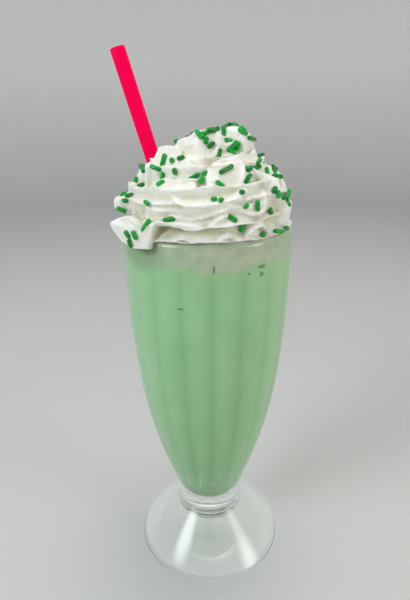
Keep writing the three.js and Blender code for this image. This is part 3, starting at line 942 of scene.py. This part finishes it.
# %% Glass finish
def clear_glass_finish():
    """Smooth clear glass with a breath of green, and the faint waviness that pressing leaves."""
    finish = Finish("clear_glass")
    finish.shade(Base_Color=colour(0.975, 0.99, 0.98), Roughness=0.015, IOR=1.5, Transmission_Weight=1.0)
    finish.bump(finish.speckle(9, 1.0), 0.05, 0.35)
    path = finish.nodes.new("ShaderNodeLightPath")
    clear = finish.node("BsdfTransparent", Color=colour(0.95, 0.965, 0.955))
    mix = finish.nodes.new("ShaderNodeMixShader")
    finish.links.new(path.outputs["Is Shadow Ray"], mix.inputs["Fac"])
    finish.links.new(finish.shader.outputs["BSDF"], mix.inputs[1])
    finish.links.new(clear.outputs["BSDF"], mix.inputs[2])
    finish.links.new(mix.outputs["Shader"], finish.output.inputs["Surface"])
    return finish.material


glass.data.materials.append(clear_glass_finish())
print("glass finish on", glass.name)

# %% [markdown]
# ### Mint drink and melted cream
#
# Thick milkshake is opaque, with a little light under its skin. Melted cream colours its top centimetre.
# Drink and pale layer are two pieces, but no line shows between them, because both use one colour formula:
# mint below a wavy line, pale above it, and a soft change across it. The line's height is kept on the
# vertices of both as an attribute, and noise frays it.

# %% Numbers kept on the drink
line_azimuth = [-180, -140, -100, -75, -52, -41, -25, -11, -5, 5, 18, 29, 44, 70, 110, 150, 180]
line_height = [178, 176.8, 178.6, 177.2, 176.3, 179.9, 179, 179.9, 177.4, 176.5, 177.8, 178.6, 179.4, 178,
               176.6, 179.2, 178]
# Less pale on the left under the overhang: partly less cream in the layer, partly painted shade.
line_paleness_and_shade = [0.9, 1, 0.8, 0.6, 0.45, 0.5, 0.85, 0.9, 1, 1, 1, 1, 1, 1, 0.8, 1, 0.9]


def keep_number(piece, name, values):
    """Stores one number on each vertex of the piece."""
    attribute = piece.data.attributes.new(name, "FLOAT", "POINT")
    attribute.data.foreach_set("value", np.asarray(values, np.float32))


def keep_line(piece):
    """Stores on each vertex the height of the frayed line at its azimuth and how much cream is in the layer
    above it there, which is lower on the left under the overhang, partly as painted shade, both blended
    between known values, how deep it lies in a flute's crease, for painted shade there, and how far it is
    round at the sides, where the picture shows the drink paler, for painted light there."""
    place = vertices_of(piece)
    azimuth = np.degrees(np.arctan2(place[:, 0], -place[:, 1]))
    keep_number(piece, "line_height", np.interp(azimuth, line_azimuth, line_height) * MM)
    keep_number(piece, "line_paleness_and_shade", np.interp(azimuth, line_azimuth, line_paleness_and_shade))
    keep_number(piece, "crease", -flute_offset(np.radians(azimuth), place[:, 2]) / flute_depth)
    keep_number(piece, "side", ramp(np.abs(azimuth), 30, 65) - ramp(np.abs(azimuth), 110, 150))


for piece in (drink, melted_cream):
    keep_line(piece)
print("numbers kept on the drink:", [a.name for a in drink.data.attributes if a.data_type == "FLOAT"])

# %% [markdown]
# The picture shows a few specks of unmixed mint against the glass, and a soft shade under the cream that
# hangs over the rim. Nothing of them stands out, so they need no pieces of their own: each is a soft spot in
# the drink's colour, and the one under the overhang is painted shade.

# %% Drink finish
# As a place and half sizes in millimetres and a strength.
specks_and_shade = [
    ((22.6, -31.0, 178.6), (2.3, 2.3, 0.9), 1),
    ((22.6, -31.0, 175.2), (1.2, 1.2, 1.1), 1),
    ((17.2, -34.3, 176.4), (0.7, 0.7, 0.7), 1),
    ((2.4, -38.2, 179.5), (0.6, 0.8, 1.9), 1),
    ((-11.8, -35.8, 161.0), (1.9, 1.9, 0.6), 1),
    # Painted shade under the cream that hangs over the rim, at half strength.
    ((-29.0, -25.0, 184.0), (15.0, 15.0, 9.0), 0.5),
]
half_bowl = 38 * MM


def drink_finish(name):
    """Mint below the line and pale above it, bluer on the left and yellower on the right as painted light,
    mottled, paler at the sides as painted light and deeper in the flutes' creases as painted shade, with the
    specks and the painted shade under the overhang on top."""
    finish = Finish(name)
    split = finish.node("SeparateXYZ", Vector=finish.place)
    above = finish.combined("SUBTRACT", split.outputs["Z"], finish.kept("line_height"))
    fray = finish.spread(finish.speckle(7, 3.0), 0.3, 0.7, -1.4 * MM, 1.4 * MM)
    pale = finish.spread(finish.combined("ADD", above, fray), -1.0 * MM, 1.2 * MM)
    across = finish.spread(split.outputs["X"], -half_bowl, half_bowl)
    # Painted light: bluer on the left and yellower on the right, as a cool lamp on the left and a warm one on
    # the right would tint it.
    mint = finish.blend(across, colour(0.3, 0.565, 0.315), colour(0.345, 0.58, 0.28))
    mottled = finish.blend(finish.spread(finish.speckle(14, 3.0), 0.3, 0.7), mint, colour(0.36, 0.615, 0.33))
    foam = finish.blend(finish.spread(finish.speckle(5, 4.0), 0.35, 0.65),
                        colour(0.41, 0.49, 0.33), colour(0.52, 0.57, 0.43))
    body = finish.blend(finish.combined("MULTIPLY", pale, finish.kept("line_paleness_and_shade")), mottled, foam)
    # Painted light: paler round the sides, standing in for the bright surroundings that the glass brings in
    # at the bowl's edges.
    body = finish.blend(finish.spread(finish.kept("side"), 0, 1, 0, 0.4), body, colour(0.47, 0.66, 0.45))
    # Painted shade: a deeper green along the flutes' creases.
    body = finish.blend(finish.spread(finish.kept("crease"), 0.1, 0.9, 0, 0.3), body, colour(0.2, 0.5, 0.215))
    # Specks of unmixed mint, and the painted shade under the overhang.
    for place, size, strength in specks_and_shade:
        body = finish.blend(finish.spot(place, size, strength), body, colour(0.13, 0.25, 0.11))
    finish.shade(Base_Color=body, Roughness=0.42, Subsurface_Weight=0.25, Subsurface_Scale=2.5 * MM,
                 Subsurface_Radius=(0.8, 1.0, 0.7))
    finish.bump(finish.speckle(1.6, 3.0), 0.08, 0.4)
    return finish.material


for piece, name in ((drink, "mint_drink"), (melted_cream, "melted_cream")):
    piece.data.materials.append(drink_finish(name))
print("drink finishes share", len(specks_and_shade), "specks")

# %% [markdown]
# ### Whipped cream
#
# Cream is white because light wanders inside it, so subsurface scattering gives its soft edges. In the
# valleys light bounces many times, turns warm and grows dim, and that shade is painted into the colour. An
# Ambient Occlusion node could look for them at every sample of the render, which is slow. So how deep a point
# lies is worked out once, from the mesh itself: the mesh is smoothed many times, and a point that lies below
# the smoothed skin is in a valley. The picture also shows some hollows that are warmer than their depth would
# make them, and rays through their pixels find those. Both results are kept as attributes, and paint warm
# shade into the colour there.

# %% Depths kept on the cream
def keep_depths(piece, depths):
    """Stores how far each vertex lies under the skin that rounds of averaging over edges would give. Each
    entry of depths is a name, a number of rounds, and the depths in millimetres that count as 0 and as 1."""
    mesh = piece.data
    place = vertices_of(piece)
    normals = normals_of(piece)
    edges = np.empty(len(mesh.edges) * 2, np.int32)
    mesh.edges.foreach_get("vertices", edges)
    edges = edges.reshape(-1, 2)
    count = len(place)
    neighbours = np.bincount(edges.ravel(), minlength=count)[:, None]
    even = place.copy()
    done = 0
    for name, rounds, shallow, deep in depths:
        for _ in range(rounds - done):
            total = np.stack([
                np.bincount(edges[:, 0], even[edges[:, 1], axis], count)
                + np.bincount(edges[:, 1], even[edges[:, 0], axis], count)
                for axis in range(3)
            ], axis=-1)
            even = total / neighbours
        done = rounds
        depth = ((even - place) * normals).sum(axis=1)
        print(name, "depth from", depth.min().round(1), "to", depth.max().round(1), "mm")
        keep_number(piece, name, ramp(depth, shallow, deep))


# How deep points lie sets the painted shade in the cream's colour.
keep_depths(cream, [("valley", 40, -0.8, 1.6), ("cave", 200, 1.0, 3.8)])

# %% Hollows seen in the picture, for painted shade
# As pixel x, pixel y, size in millimetres and strength.
painted_shade_spots = [
    (158, 237, 3, 1), (161, 231, 2.6, 1), (167, 236, 3, 1), (167, 230, 2.4, 1), (174, 232, 2.6, 1),
    (180, 230, 2, 1), (210, 161, 2.6, 1), (218, 159, 2.6, 1), (274, 202, 3.5, 1), (278, 209, 3.5, 1),
    (270, 213, 3.5, 1), (264, 234, 2.2, 1), (186, 242, 1.8, 1), (232, 241, 1.8, 1), (136, 215, 2.6, 1),
    (143, 212, 2.2, 1), (199, 186, 2.4, 1), (262, 185, 2.2, 0.9), (256, 219, 2.4, 1), (249, 165, 2.4, 1),
    (205, 226, 1.6, 1), (240, 232, 2.2, 1), (220, 168, 4, 0.22), (232, 176, 5, 0.35), (239, 186, 5, 0.35),
    (185, 213, 4, 0.35), (205, 211, 4, 0.25), (170, 212, 4, 0.3), (190, 197, 4, 0.15),
]


def keep_painted_shade(piece):
    """Stores how much painted shade a vertex takes from the seen hollows: its strength · exp(−d²) at d sizes
    from its middle, and the most of these where hollows overlap."""
    place = vertices_of(piece)
    shade = np.zeros(len(place))
    for x, y, size, strength in painted_shade_spots:
        hit = cream_tree.ray_cast(Vector(camera_point), Vector(pixel_ray(x, y)))[0]
        if hit is not None:
            away = ((place - np.array(hit) / MM) ** 2).sum(axis=1) / size**2
            shade = np.maximum(shade, strength * np.exp(-away))
    keep_number(piece, "painted_shade", shade)


keep_painted_shade(cream)
print("hollows:", len(painted_shade_spots))

# %% Cream finish
def cream_finish():
    """White with painted warm shade in its valleys, caves and seen hollows, light under the skin and a satin
    sheen.
    """
    finish = Finish("whipped_cream")
    white = finish.blend(finish.speckle(6, 3.0), colour(0.9, 0.895, 0.84), colour(0.92, 0.92, 0.885))
    # Painted shade: warm and darker in the valleys, darker still in the caves.
    body = finish.blend(finish.kept("valley"), white, colour(0.79, 0.78, 0.58))
    body = finish.blend(finish.kept("cave"), body, colour(0.5, 0.49, 0.3))
    # Painted shade in the seen hollows and shaded faces.
    body = finish.blend(finish.spread(finish.kept("painted_shade"), 0, 1, 0, 0.75), body, colour(0.5, 0.48, 0.31))
    finish.shade(Base_Color=body, Roughness=0.38, Subsurface_Weight=0.2, Subsurface_Scale=1.4 * MM,
                 Subsurface_Radius=(1.0, 0.9, 0.6))
    finish.bump(finish.speckle(1.3, 4.0), 0.12, 0.5)
    return finish.material


cream.data.materials.append(cream_finish())
print("cream finish on", cream.name)

# %% [markdown]
# ### Straw and sprinkles
#
# The straw is a dyed hot pink plastic. Such dyes glow a little in daylight, and here a weak emission paints
# that glow in, the same under any lamp, to lift its colour.
# Rod sprinkles are glazed sugar: a deep green under a clear coat. One green for all would look printed, so
# each rod keeps a number of its own and takes a slightly different green.

# %% Straw and sprinkle finishes
def straw_finish():
    """Hot pink plastic that lets light through its thin wall, with a weak painted glow."""
    finish = Finish("pink_straw")
    body = finish.blend(finish.speckle(12, 1.0), colour(0.8, 0.0, 0.065), colour(0.88, 0.0, 0.085))
    # Painted glow: a weak emission, the same under any lamp.
    finish.shade(Base_Color=body, Roughness=0.45, Specular_IOR_Level=0.03, Subsurface_Weight=0.3,
                 Subsurface_Scale=1.5 * MM, Subsurface_Radius=(1.0, 0.1, 0.2),
                 Emission_Color=colour(1.0, 0.0, 0.08), Emission_Strength=0.2)
    finish.bump(finish.speckle(2.5, 2.0), 0.02, 0.3)
    return finish.material


def keep_tone(piece, count):
    """Stores one random number on all vertices of a rod, since every rod has as many vertices."""
    tones = np.random.default_rng(5).uniform(0, 1, count)
    keep_number(piece, "tone", np.repeat(tones, len(piece.data.vertices) // count))


def sprinkle_finish():
    """Glazed green sugar, rod by rod between a deep and a brighter green."""
    finish = Finish("green_sprinkles")
    body = finish.blend(finish.kept("tone"), colour(0.0, 0.175, 0.012), colour(0.0, 0.42, 0.04))
    finish.shade(Base_Color=body, Roughness=0.35, Specular_IOR_Level=0.03, Coat_Weight=0.8,
                 Coat_Roughness=0.06)
    finish.bump(finish.speckle(0.9, 1.0), 0.03, 0.4)
    return finish.material


straw.data.materials.append(straw_finish())
keep_tone(sprinkles, len(rods))
sprinkles.data.materials.append(sprinkle_finish())
print("straw and sprinkle finishes ready")

# %% [markdown]
# ## Stage and light
#
# The drink stands on a pale floor, as on a photographer's sheet of paper. A flat floor and a wall would show
# their edges as soon as the drink is seen from another side. So the floor is a dish that curves up all
# round, and its wall is paler, because the lamps are further from it.

# %% Floor and backdrop
def stage_dish():
    """A dish: a flat floor that turns up all round, through a quarter circle, into a straight wall."""
    flat, bend, top = 1150, 450, 1400
    turn = np.linspace(0, np.pi / 2, 16)
    radius = np.concatenate([[10], flat + bend * np.sin(turn), [flat + bend]])[:, None]
    height = np.concatenate([[0], bend - bend * np.cos(turn), [top]])[:, None]
    vertices, faces = skin(turned(radius, height, np.linspace(0, 2 * np.pi, 96, endpoint=False)[None, :]))
    return vertices[:-1], [group[:, ::-1] for group in faces[:2]]


def stage_finish():
    """Matt pale grey paper, paler on the wall, which is further from the lamps."""
    finish = Finish("pale_stage")
    floor = finish.blend(finish.speckle(160, 2.0), colour(0.6, 0.6, 0.59), colour(0.63, 0.63, 0.62))
    height = finish.node("SeparateXYZ", Vector=finish.place).outputs["Z"]
    body = finish.blend(finish.spread(height, 0.0, 0.4), floor, colour(0.92, 0.92, 0.91))
    finish.shade(Base_Color=body, Roughness=0.75)
    return finish.material


stage = make_piece("stage", *stage_dish())
stage.data.materials.append(stage_finish())
print("stage ready")

# %% [markdown]
# One broad lamp from the front left is the window, a weaker warm one from the right fills the shadows, and
# one from above lifts the tops of the cream. Small lamps would give the cream hard shadows, and broad ones
# give it its soft shading.

# %% Lamps
lamp_aim = (0, 0, 0.13)
lamp_middle, lamp_boost = (0.5, 0.5, 0), 3.0
faded_from, faded_to = 0.05, 0.5


def add_lamp(name, place, size, power, tint):
    """A square lamp that faces the middle of the bowl. It shines most in its middle and fades to nothing
    towards its edges, so that its mirror image in the glass has no hard outline."""
    data = bpy.data.lights.new(name, "AREA")
    data.size = size
    data.energy = power
    data.color = tint
    data.use_nodes = True
    nodes, links = data.node_tree.nodes, data.node_tree.links
    place_on_lamp = nodes.new("ShaderNodeNewGeometry").outputs["Parametric"]
    from_middle = nodes.new("ShaderNodeVectorMath")
    from_middle.operation = "DISTANCE"
    from_middle.inputs[1].default_value = lamp_middle
    fade = nodes.new("ShaderNodeMapRange")
    fade.interpolation_type = "SMOOTHSTEP"
    fade.inputs["From Min"].default_value = faded_to
    fade.inputs["From Max"].default_value = faded_from
    fade.inputs["To Max"].default_value = lamp_boost
    links.new(place_on_lamp, from_middle.inputs[0])
    links.new(from_middle.outputs["Value"], fade.inputs["Value"])
    links.new(fade.outputs["Result"], nodes["Emission"].inputs["Strength"])
    lamp = bpy.data.objects.new(name, data)
    lamp.location = place
    aim = Vector(lamp_aim) - Vector(place)
    lamp.rotation_euler = aim.to_track_quat("-Z", "Y").to_euler()
    bpy.context.collection.objects.link(lamp)


add_lamp("window", (-0.8, -0.55, 0.7), 0.75, 6.8, (0.93, 0.98, 1.0))
add_lamp("fill", (0.9, -0.45, 0.42), 0.7, 4.0, (1.0, 0.98, 0.94))
add_lamp("ceiling", (0.05, 0.1, 1.1), 0.9, 5.1, (1.0, 0.99, 0.97))

world = bpy.data.worlds.new("room")
world.use_nodes = True
background = world.node_tree.nodes["Background"]
background.inputs["Color"].default_value = (0.9, 0.93, 0.95, 1)
background.inputs["Strength"].default_value = 0.32
bpy.context.scene.world = world
bpy.context.scene.view_settings.view_transform = "Standard"

# %% [markdown]
# ## Handing the pieces over
#
# Each piece rides on the one body that the model has, and the solid that it stands for is hidden.

# %% Tie pieces to their solids
pairs = (
    (glass, "glass", "clear_glass"),
    (drink, "milkshake", "mint_milkshake"),
    (melted_cream, "melted_cream", "melted_cream"),
    (cream, "whipped_cream", "whipped_cream"),
    (straw, "straw", "pink_straw"),
)
for piece, node, slot in pairs:
    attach(piece, "root")
    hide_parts(node)
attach(sprinkles, "root")
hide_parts("whipped_cream")
